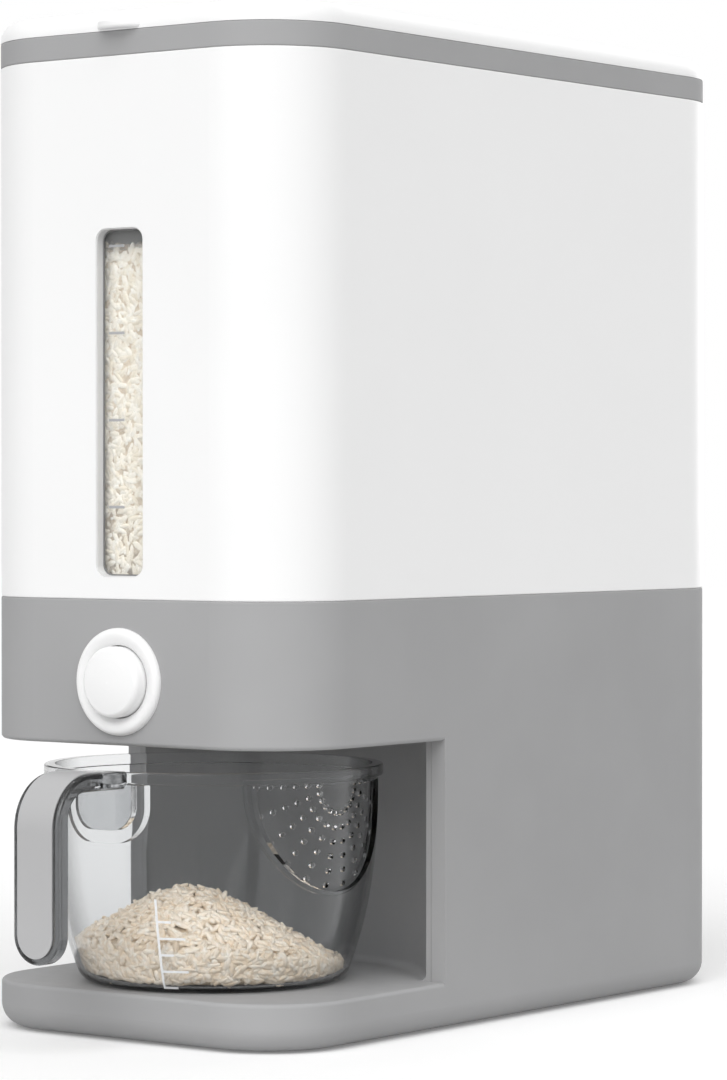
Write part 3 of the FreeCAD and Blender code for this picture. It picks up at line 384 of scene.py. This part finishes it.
def rounded_reach(way, half_x, half_y, corner_r):
    """From the middle of a rounded rectangle to its edge, along way."""
    low, high = 0.0, half_x + half_y
    for _ in range(HALVINGS):
        reach = (low + high) / 2
        past = np.abs(way * reach) - np.array([half_x - corner_r, half_y - corner_r])
        outside = np.linalg.norm(np.maximum(past, 0)) + min(max(past[0], past[1]), 0) > corner_r
        low, high = (low, reach) if outside else (reach, high)
    return low


class Hopper:
    """The hopper's inside: its walls, its funnel and the pane in its front."""

    def __init__(self):
        self.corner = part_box("hopper_shell")[1]
        self.pane_low, self.pane_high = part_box("sight_window")
        self.pane_back = self.pane_high.y + RICE_GAP + GRAIN_WIDTH / 2
        self.funnel = surface_of("hopper_funnel")

    def outline(self):
        """Points of the filling's outline, from inside the walls to just behind the pane."""
        inset = FILL_WALL_T + RICE_GAP
        zone = self.pane_high.x + WINDOW_ZONE
        points = []
        for k in range(FILL_SIDES):
            turn = 2 * math.pi * (k + 0.5) / FILL_SIDES
            way = np.array([math.cos(turn), math.sin(turn)])
            x, y = way * rounded_reach(way, self.corner.x - inset, self.corner.y - inset, FILL_CORNER_R)
            points.append((x, max(y, self.pane_back) if abs(x) < zone else y))
        return points

    def fill_bottom(self, x, y):
        """Just above the funnel, and no lower than the pane."""
        hit = self.funnel.ray_cast(Vector((x, y, FILL_LEVEL)), Vector((0, 0, -1)))[0]
        low = self.pane_low.z - RICE_GAP
        return max(hit.z + 2 * RICE_GAP, low) if hit else low

    def fill_top(self, x, y):
        """The filling falls a little towards the walls."""
        share = max(abs(x) / self.corner.x, abs(y) / self.corner.y)
        return FILL_LEVEL + FILL_DROP * (1 - share ** 2)

    def fill_rings(self):
        """Rings of the filling: out over the funnel, then back over its top."""
        outline = self.outline()
        shares = [i / FILL_RINGS for i in range(1, FILL_RINGS + 1)]
        rings = [[(x * share, y * share) for x, y in outline] for share in shares]
        under = [[(x, y, self.fill_bottom(x, y)) for x, y in ring] for ring in rings]
        over = [[(x, y, self.fill_top(x, y)) for x, y in ring] for ring in reversed(rings)]
        return under + over

    def grains_on_top(self):
        """Middle and axes of each grain on top of the filling."""
        reach_x = self.corner.x - FILL_WALL_T - RICE_GAP - FILL_GRAIN_GAP
        reach_y = -self.pane_back - FILL_GRAIN_GAP
        square = np.array([reach_x - FILL_CORNER_R, reach_y - FILL_CORNER_R])
        places = []
        while len(places) < FILL_GRAINS:
            x, y = rng.uniform(-reach_x, reach_x), rng.uniform(-reach_y, reach_y)
            over = np.maximum(np.abs([x, y]) - square, 0)
            if np.hypot(*over) > FILL_CORNER_R:
                continue
            axes = grain_frame(np.array([0, 0, 1.0]), HEAP_LEAN)
            z = self.fill_top(x, y) + GRAIN_WIDTH * rng.uniform(*FILL_LIFT)
            places.append((np.array([x, y, z]), axes))
        return places

    def grain_at_pane(self):
        """Middle and axes of a grain behind the pane."""
        x = rng.uniform(self.pane_low.x, self.pane_high.x)
        z = rng.uniform(self.pane_low.z, FILL_LEVEL)
        axes = grain_frame(np.array([0, -1.0, 0]), WALL_LEAN)
        y = self.pane_high.y + RICE_GAP + GRAIN_WIDTH * rng.uniform(*PANE_DEPTH)
        return np.array([x, y, z]), axes


def make_hopper_rice():
    """Rice in the hopper: a bed from the funnel to the level, grains on top and behind the pane."""
    hopper = Hopper()
    bed = new_piece("hopper_rice_bed", *closed_rings(hopper.fill_rings()), "housing")
    top_grains = rice_piece("hopper_rice_grains", hopper.grains_on_top(), "housing")
    behind_pane = [hopper.grain_at_pane() for _ in range(WINDOW_GRAINS)]
    return bed, top_grains, rice_piece("window_rice_grains", behind_pane, "housing")


# ---- return spring ----
def make_spring():
    """Coil spring behind the button's slide, in place of the CAD spring, which it hides."""
    low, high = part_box("return_spring")
    coil_r = (high.x - low.x) / 2 - SPRING_WIRE_R
    start, length = low.y + SPRING_WIRE_R, high.y - low.y - 2 * SPRING_WIRE_R
    axis_z = (low.z + high.z) / 2
    steps = SPRING_TURNS * SPRING_TURN_STEPS
    rings = []
    for i in range(steps + 1):
        turn = 2 * math.pi * i / SPRING_TURN_STEPS
        y = start + length * i / steps
        ring = []
        for k in range(SPRING_SIDES):
            around = 2 * math.pi * k / SPRING_SIDES
            reach = coil_r + SPRING_WIRE_R * math.cos(around)
            ring.append((reach * math.cos(turn), y + SPRING_WIRE_R * math.sin(around),
                         axis_z - reach * math.sin(turn)))
        rings.append(ring)
    verts, faces = closed_rings(rings)
    spring = new_piece("coil_spring", verts, faces, "housing")
    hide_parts("return_spring")
    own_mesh(spring)
    return spring


# ---- printed marks ----
def plate(x0, x1, back, z0, z1, thick):
    """Vertices and faces of a thin bar that faces the front."""
    corners = ((x0, z0), (x1, z0), (x1, z1), (x0, z1))
    verts = [(x, y, z) for y in (back, back - thick) for x, z in corners]
    faces = [(0, 3, 2, 1), (4, 5, 6, 7), (0, 1, 5, 4), (1, 2, 6, 5), (2, 3, 7, 6), (3, 0, 4, 7)]
    return verts, faces


def joined(parts):
    """Vertices and faces of several parts as one mesh."""
    verts, faces = [], []
    for part_verts, part_faces in parts:
        faces += [tuple(i + len(verts) for i in face) for face in part_faces]
        verts += list(part_verts)
    return verts, faces


def make_level_marks():
    """Level marks on the front of the pane, at its left side."""
    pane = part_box("sight_window")[0]
    left = pane.x + LEVEL_MARK_INSET
    parts = []
    for i in range(LEVEL_MARKS):
        z = LEVEL_MARK_TOP - i * LEVEL_MARK_PITCH
        parts.append(plate(left, left + LEVEL_MARK_L, pane.y - MARK_LIFT,
                           z - LEVEL_MARK_W / 2, z + LEVEL_MARK_W / 2, MARK_T))
    verts, faces = joined(parts)
    return new_piece("level_marks", verts, faces, "housing", smooth=False)


def slot_ring(name, outset, width, front, back):
    """Closed ring that follows the window slot, outset from its edge and width wide inwards."""
    pane_low, pane_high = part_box("sight_window")
    straight_x = (pane_high.x - pane_low.x) / 2 - PANE_LAP - SLOT_CORNER_R
    straight_z = (pane_high.z - pane_low.z) / 2 - PANE_LAP - SLOT_CORNER_R
    mid_z = (pane_high.z + pane_low.z) / 2
    section = ((outset, back), (outset, front), (outset - width, front), (outset - width, back))
    verts, faces = [], []
    for corner, (side, level) in enumerate(((1, 1), (-1, 1), (-1, -1), (1, -1))):
        for k in range(SLOT_CORNER_STEPS + 1):
            turn = math.pi / 2 * (corner + k / SLOT_CORNER_STEPS)
            for grow, y in section:
                radius = SLOT_CORNER_R + grow
                verts.append((side * straight_x + radius * math.cos(turn), y,
                              mid_z + level * straight_z + radius * math.sin(turn)))
    sides = len(section)
    for here in range(0, len(verts), sides):
        there = (here + sides) % len(verts)
        for j in range(sides):
            after = (j + 1) % sides
            faces.append((here + j, there + j, there + after, here + after))
    return new_piece(name, verts, faces, "housing", smooth=False)


def make_window_trim():
    """Grey trim that lines the window's slot, and a dark bead of painted shadow where the pane meets it."""
    pane_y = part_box("sight_window")[0].y - SLOT_LINING_FIT
    shell_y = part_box("hopper_shell")[0].y
    trim = slot_ring("window_trim", -SLOT_LINING_FIT, TRIM_W, shell_y + TRIM_SHORT, pane_y)
    # dark bead of painted shadow round the pane
    shadow_bead = slot_ring("window_shadow_bead", -SLOT_LINING_FIT - TRIM_W, SHADOW_BEAD_W, pane_y - SHADOW_BEAD_PROUD, pane_y)
    return trim, shadow_bead


def scale_strip(cup, start, length, low, high):
    """Part of the cup's wall, length to the right of start, as a thin closed shell."""
    across = max(2, int(length / SCALE_MESH[0]))
    tall = max(1, int((high - low) / SCALE_MESH[1]))
    middle_r = cup.radius((low + high) / 2, SCALE_AZIMUTH, inside=False)
    verts = []
    for lift in (MARK_LIFT, MARK_LIFT + MARK_T):
        for j in range(tall + 1):
            z = low + (high - low) * j / tall
            radius = cup.radius(z, SCALE_AZIMUTH, inside=False) + lift
            for i in range(across + 1):
                turn = math.radians(SCALE_AZIMUTH) + (start + length * i / across) / middle_r
                verts.append((*cup.place(turn, radius), z))
    row = across + 1
    skin = row * (tall + 1)
    faces = []
    for j in range(tall):
        for i in range(across):
            a = j * row + i
            faces.append((a + row, a + row + 1, a + 1, a))
            faces.append((skin + a, skin + a + 1, skin + a + row + 1, skin + a + row))
    for i in range(across):
        faces.append((i, i + 1, skin + i + 1, skin + i))
        last = tall * row + i
        faces.append((last + 1, last, skin + last, skin + last + 1))
    for j in range(tall):
        a, b = j * row, (j + 1) * row
        faces.append((b, a, skin + a, skin + b))
        faces.append((a + across, b + across, skin + b + across, skin + a + across))
    return verts, faces


def make_cup_scale(cup):
    """Measuring scale on the cup's wall: an upright line with ticks to its right."""
    parts = [scale_strip(cup, -SCALE_W, SCALE_W, SCALE_LOW, SCALE_HIGH)]
    for i in range(SCALE_TICKS):
        low = SCALE_LOW + i * SCALE_PITCH
        length = TICK_LONG if i % 2 else TICK_SHORT
        parts.append(scale_strip(cup, 0.0, length, low, low + SCALE_W))
    verts, faces = joined(parts)
    return new_piece("cup_scale", verts, faces, "cup", smooth=False)


# ---- materials ----
class Look:
    """A material's node tree, built node by node."""

    def __init__(self, name):
        self.material = bpy.data.materials.new(name)
        self.material.use_nodes = True
        self.tree = self.material.node_tree
        self.tree.nodes.clear()
        self.place = self.node("TexCoord").outputs["Object"]

    def node(self, kind, inputs=None, **settings):
        made = self.tree.nodes.new("ShaderNode" + kind)
        for key, value in settings.items():
            setattr(made, key, value)
        for key, value in (inputs or {}).items():
            if isinstance(value, bpy.types.NodeSocket):
                self.tree.links.new(value, made.inputs[key])
            else:
                made.inputs[key].default_value = value
        return made

    def noise(self, size, detail=2.0):
        """Noise whose features are about size metres across."""
        inputs = {"Vector": self.place, "Scale": 1 / size, "Detail": detail}
        return self.node("TexNoise", inputs).outputs["Fac"]

    def ranged(self, value, low, high, start=0.3, end=0.7):
        """Low where value is start or less, high where it is end or more, even in between."""
        inputs = {"Value": value, "From Min": start, "From Max": end, "To Min": low, "To Max": high}
        return self.node("MapRange", inputs).outputs["Result"]

    def blend(self, share, first, second):
        """Colour from first to second as share goes from 0 to 1."""
        mix = self.node("Mix", {"Factor": share}, data_type="RGBA")
        for key, value in (("A", first), ("B", second)):
            socket = next(s for s in mix.inputs if s.name == key and s.type == "RGBA")
            if isinstance(value, bpy.types.NodeSocket):
                self.tree.links.new(value, socket)
            else:
                socket.default_value = (*value, 1)
        return next(s for s in mix.outputs if s.type == "RGBA")

    def bump(self, height, depth):
        inputs = {"Height": height, "Distance": depth, "Strength": 1.0}
        return self.node("Bump", inputs).outputs["Normal"]

    def shader(self, inputs):
        return self.node("BsdfPrincipled", inputs).outputs["BSDF"]

    def done(self, surface):
        self.node("OutputMaterial", {"Surface": surface})
        return self.material


def toned(colour, share):
    """A lighter or darker colour, by a share of itself."""
    return tuple(min(1.0, c * (1 + share)) for c in colour)


def moulded(name, colour, roughness, tone=0.02, smudge=0.05, **constants):
    """Moulded plastic or rubber: tone and gloss drift a little, and the skin has a fine texture."""
    look = Look(name)
    drift = look.ranged(look.noise(TONE_PATCH), 0, 1)
    base = look.blend(drift, toned(colour, -tone), toned(colour, tone))
    handled = look.noise(HANDLED_PATCH, detail=4.0)
    skin = look.noise(SKIN_GRAIN, detail=1.0)
    inputs = {"Base Color": base, "Roughness": look.ranged(handled, roughness - smudge, roughness + smudge),
              "Normal": look.bump(skin, SKIN_DEPTH), **constants}
    return look.done(look.shader(inputs))


def see_through(name, colour, roughness, lamp_share, ior, haze=0.0, edge_shade=None, clearing=None):
    """Clear moulded plastic under a gloss skin.

    Its tone is darkened where it is seen edge on, by the edge argument: painted shade for the dark edges of
    clear plastic.
    clearing gives where along Y a tint starts to clear, where it has cleared, and to what.
    Lamps pass it as the eye does, which glass alone would hide from them.
    """
    look = Look(name)
    flow = look.noise(FLOW_PATCH, detail=1.0)
    tint = (*colour, 1)
    if edge_shade:
        # painted shade: the tint darkens where the wall is seen edge on
        facing = look.node("LayerWeight", {"Blend": 0.5}).outputs["Facing"]
        tint = look.blend(look.ranged(facing, 0, 1, *EDGE_ON), colour, toned(colour, edge_shade))
    if clearing:
        start, end, clear_colour = clearing
        depth = look.node("SeparateXYZ", {"Vector": look.place}).outputs["Y"]
        tint = look.blend(look.ranged(depth, 0, 1, start, end), colour, clear_colour)
    inputs = {"Base Color": tint, "Roughness": look.ranged(flow, roughness, roughness + 0.03),
              "Transmission Weight": 1.0 - haze, "IOR": ior, "Normal": look.bump(flow, FLOW_DEPTH),
              "Coat Weight": CLEAR_COAT, "Coat Roughness": CLEAR_COAT_ROUGHNESS}
    glass = look.shader(inputs)
    passed = toned(colour, lamp_share - 1)
    passing = look.node("BsdfTransparent", {"Color": (*passed, 1)}).outputs["BSDF"]
    lamp = look.node("LightPath").outputs["Is Shadow Ray"]
    mix = look.node("MixShader", {"Fac": lamp})
    look.tree.links.new(glass, mix.inputs[1])
    look.tree.links.new(passing, mix.inputs[2])
    return look.done(mix.outputs["Shader"])


def metal(name, colour):
    """Plated steel with a fine brushed skin."""
    look = Look(name)
    brushed = look.noise(BRUSH_GRAIN, detail=3.0)
    patches = look.noise(METAL_PATCH)
    inputs = {"Base Color": look.blend(patches, toned(colour, -METAL_TONE), toned(colour, METAL_TONE)),
              "Roughness": look.ranged(brushed, 0.25, 0.42), "Metallic": 1.0,
              "Normal": look.bump(brushed, BRUSH_DEPTH)}
    return look.done(look.shader(inputs))


def rice_grain_look(name, warm, pale, chalky):
    """Polished rice: each grain has its own tone, with a chalky heart in some."""
    look = Look(name)
    each = look.node("NewGeometry").outputs["Random Per Island"]
    tone = look.blend(each, warm, pale)
    chalk = look.ranged(look.noise(CHALK_PATCH), 0, CHALK_SHARE, start=0.48, end=0.7)
    colour = look.blend(chalk, tone, chalky)
    ridges = look.noise(RIDGE_GRAIN)
    inputs = {"Base Color": colour, "Roughness": look.ranged(ridges, 0.34, 0.5), "Specular IOR Level": 0.45,
              "Normal": look.bump(ridges, RIDGE_DEPTH)}
    return look.done(look.shader(inputs))


def rice_bed_look():
    """Rice below the top grains: cells about the size of a grain, with painted shade between them."""
    look = Look("rice_bed")
    cells = look.node("TexVoronoi", {"Vector": look.place, "Scale": 1 / BED_CELL, "Randomness": 1.0})
    painted_gap_shade = look.ranged(cells.outputs["Distance"], 0, 1, start=0.1, end=0.75)
    # painted shade: the tone darkens towards the edge of each cell, where grains would shade each other
    tone = look.blend(painted_gap_shade, (0.82, 0.70, 0.54), (0.56, 0.44, 0.31))
    inputs = {"Base Color": tone, "Roughness": look.ranged(look.noise(BED_PATCH), 0.5, 0.65),
              "Normal": look.bump(painted_gap_shade, -BED_DEPTH)}
    return look.done(look.shader(inputs))


def make_looks():
    """Materials by the record's slot names, and those of the pieces made here."""
    cup_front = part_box("measuring_cup")[0].y
    clearing = (cup_front - HOOK_FADE, cup_front, (0.66, 0.67, 0.68))
    satin = {"Specular IOR Level": 0.08}
    gloss = {"Specular IOR Level": 0.3, "Coat Weight": 0.08, "Coat Roughness": 0.2}
    # The rice behind the pane is a paler copy of the same rice: painted light, lighter than the rice in the
    # cup and on the filling's top.
    rice = ((0.84, 0.69, 0.52), (0.96, 0.86, 0.73), (0.97, 0.93, 0.85))
    window_rice = ((0.84, 0.75, 0.60), (0.97, 0.92, 0.83), (0.97, 0.95, 0.90))
    return {
        "grey_plastic": moulded("grey_satin", (0.373, 0.373, 0.377), 0.58, tone=0.03, **satin),
        "white_plastic": moulded("white_gloss", (0.87, 0.87, 0.87), 0.3, tone=0.006, smudge=0.02, **gloss),
        "white_inner": moulded("white_inner", (0.74, 0.74, 0.72), 0.5, tone=0.015),
        # the cup's wall gets a painted dark edge where it is seen edge on
        "clear_plastic": see_through("clear_wall", (0.86, 0.867, 0.872), 0.02, 0.93, 1.22, edge_shade=-0.8),
        "smoky_plastic": see_through("smoky_hook", (0.15, 0.155, 0.16), 0.04, 0.6, 1.4, clearing=clearing),
        "strainer": see_through("strainer", (0.84, 0.845, 0.85), 0.03, 0.85, 1.2),
        "pane": see_through("pane", (0.93, 0.935, 0.93), 0.02, 0.93, 1.3, haze=0.1),
        "grip_plastic": moulded("grip_satin", (0.42, 0.42, 0.425), 0.45, tone=0.03),
        "silicone": moulded("silicone", (0.72, 0.72, 0.70), 0.6),
        "rubber": moulded("rubber", (0.05, 0.05, 0.05), 0.8, tone=0.1),
        "steel": metal("zinc_steel", (0.6, 0.6, 0.62)),
        "rice": rice_grain_look("rice_grain", *rice),
        # paler copy of the rice: painted light
        "window_rice": rice_grain_look("window_rice", *window_rice),
        "rice_bed": rice_bed_look(),
        "mark_grey": moulded("mark_grey", (0.40, 0.40, 0.41), 0.5),
        "trim_grey": moulded("trim_grey", (0.74, 0.74, 0.74), 0.35),
        # painted shadow: the dark grey of the bead round the pane
        "shadow_bead_grey": moulded("shadow_bead_grey", (0.20, 0.20, 0.20), 0.5),
        "mark_white": moulded("mark_white", (0.86, 0.87, 0.88), 0.45),
    }


def dress_cad(looks):
    """Gives each CAD node the material of its slot, or its own."""
    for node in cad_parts.values():
        for slot in node.material_slots:
            slot.material = looks[slot.material.name.split(".")[0]]
    for name, look in OWN_LOOKS.items():
        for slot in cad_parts[name].material_slots:
            slot.material = looks[look]


# ---- studio ----
def soft_lamp(name, azimuth, height, softness, strength):
    """Wide, even light from one side, softness degrees across."""
    light = bpy.data.lights.new(name, "SUN")
    light.angle = math.radians(softness)
    light.energy = strength
    lamp = bpy.data.objects.new(name, light)
    lamp.rotation_euler = (math.radians(90 - height), 0, math.radians(azimuth))
    bpy.context.scene.collection.objects.link(lamp)


def seen_directly(tree):
    """1 for rays from the camera, off gloss or through glass, else 0."""
    path = tree.nodes.new("ShaderNodeLightPath")
    total = path.outputs["Is Camera Ray"]
    for name in ("Is Glossy Ray", "Is Transmission Ray"):
        either = tree.nodes.new("ShaderNodeMath")
        either.operation = "MAXIMUM"
        tree.links.new(total, either.inputs[0])
        tree.links.new(path.outputs[name], either.inputs[1])
        total = either.outputs[0]
    return total


def make_room():
    """Even white light all round, and plain white where the camera, gloss or glass sees it."""
    world = bpy.data.worlds.new("room")
    bpy.context.scene.world = world
    world.use_nodes = True
    tree = world.node_tree
    background = tree.nodes["Background"]
    background.inputs["Color"].default_value = (1, 1, 1, 1)
    level = tree.nodes.new("ShaderNodeMapRange")
    level.inputs["To Min"].default_value = ROOM_LIGHT
    level.inputs["To Max"].default_value = 1.0
    tree.links.new(seen_directly(tree), level.inputs["Value"])
    tree.links.new(level.outputs["Result"], background.inputs["Strength"])


def make_floor():
    """Plain pale floor that keeps the object's shadow and is lifted to white where it is seen lit."""
    half = FLOOR_SIZE / 2
    corners = [(-half, -half, 0), (half, -half, 0), (half, half, 0), (-half, half, 0)]
    mesh = bpy.data.meshes.new("floor")
    mesh.from_pydata(corners, [], [(0, 1, 2, 3)])
    floor = bpy.data.objects.new("floor", mesh)
    bpy.context.scene.collection.objects.link(floor)
    look = Look("floor")
    drift = look.ranged(look.noise(FLOOR_PATCH), 0, 1)
    tone = look.blend(drift, (FLOOR_TONE * FLOOR_DRIFT,) * 3, (FLOOR_TONE,) * 3)
    matt = look.node("BsdfDiffuse", {"Color": tone}).outputs["BSDF"]
    lift = look.node("Math", operation="MULTIPLY")
    look.tree.links.new(seen_directly(look.tree), lift.inputs[0])
    lift.inputs[1].default_value = FLOOR_LIFT
    glow = look.node("Emission", {"Strength": lift.outputs[0]}).outputs["Emission"]
    both = look.node("AddShader")
    look.tree.links.new(matt, both.inputs[0])
    look.tree.links.new(glow, both.inputs[1])
    floor.data.materials.append(look.done(both.outputs["Shader"]))


def make_camera():
    """Camera at the photograph's place and angle."""
    camera = bpy.data.cameras.new("camera")
    camera.lens = LENS
    camera.sensor_width = SENSOR
    camera.clip_start, camera.clip_end = CAMERA_CLIP
    holder = bpy.data.objects.new("camera", camera)
    holder.location = CAMERA_PLACE
    holder.rotation_euler = (math.radians(90 - CAMERA_PITCH), 0, math.radians(CAMERA_AZIMUTH))
    bpy.context.scene.collection.objects.link(holder)
    bpy.context.scene.camera = holder


def dress(material, *pieces):
    for piece in pieces:
        piece.data.materials.append(material)


looks = make_looks()
dress_cad(looks)
cup = Cup()
cup_bed, cup_heap, cup_wall_grains = make_cup_rice(cup)
hopper_bed, hopper_grains, window_grains = make_hopper_rice()
dress(looks["rice_bed"], cup_bed, hopper_bed)
dress(looks["rice"], cup_heap, cup_wall_grains, hopper_grains)
dress(looks["window_rice"], window_grains)
dress(looks["mark_grey"], make_level_marks())
dress(looks["mark_white"], make_cup_scale(cup))
window_trim, window_shadow_bead = make_window_trim()
dress(looks["trim_grey"], window_trim)
dress(looks["shadow_bead_grey"], window_shadow_bead)
dress(looks["steel"], make_spring())

make_room()
make_floor()
for lamp_name, lamp_facts in LAMPS.items():
    soft_lamp(lamp_name, *lamp_facts)
make_camera()
bpy.context.scene.view_settings.view_transform = "Standard"
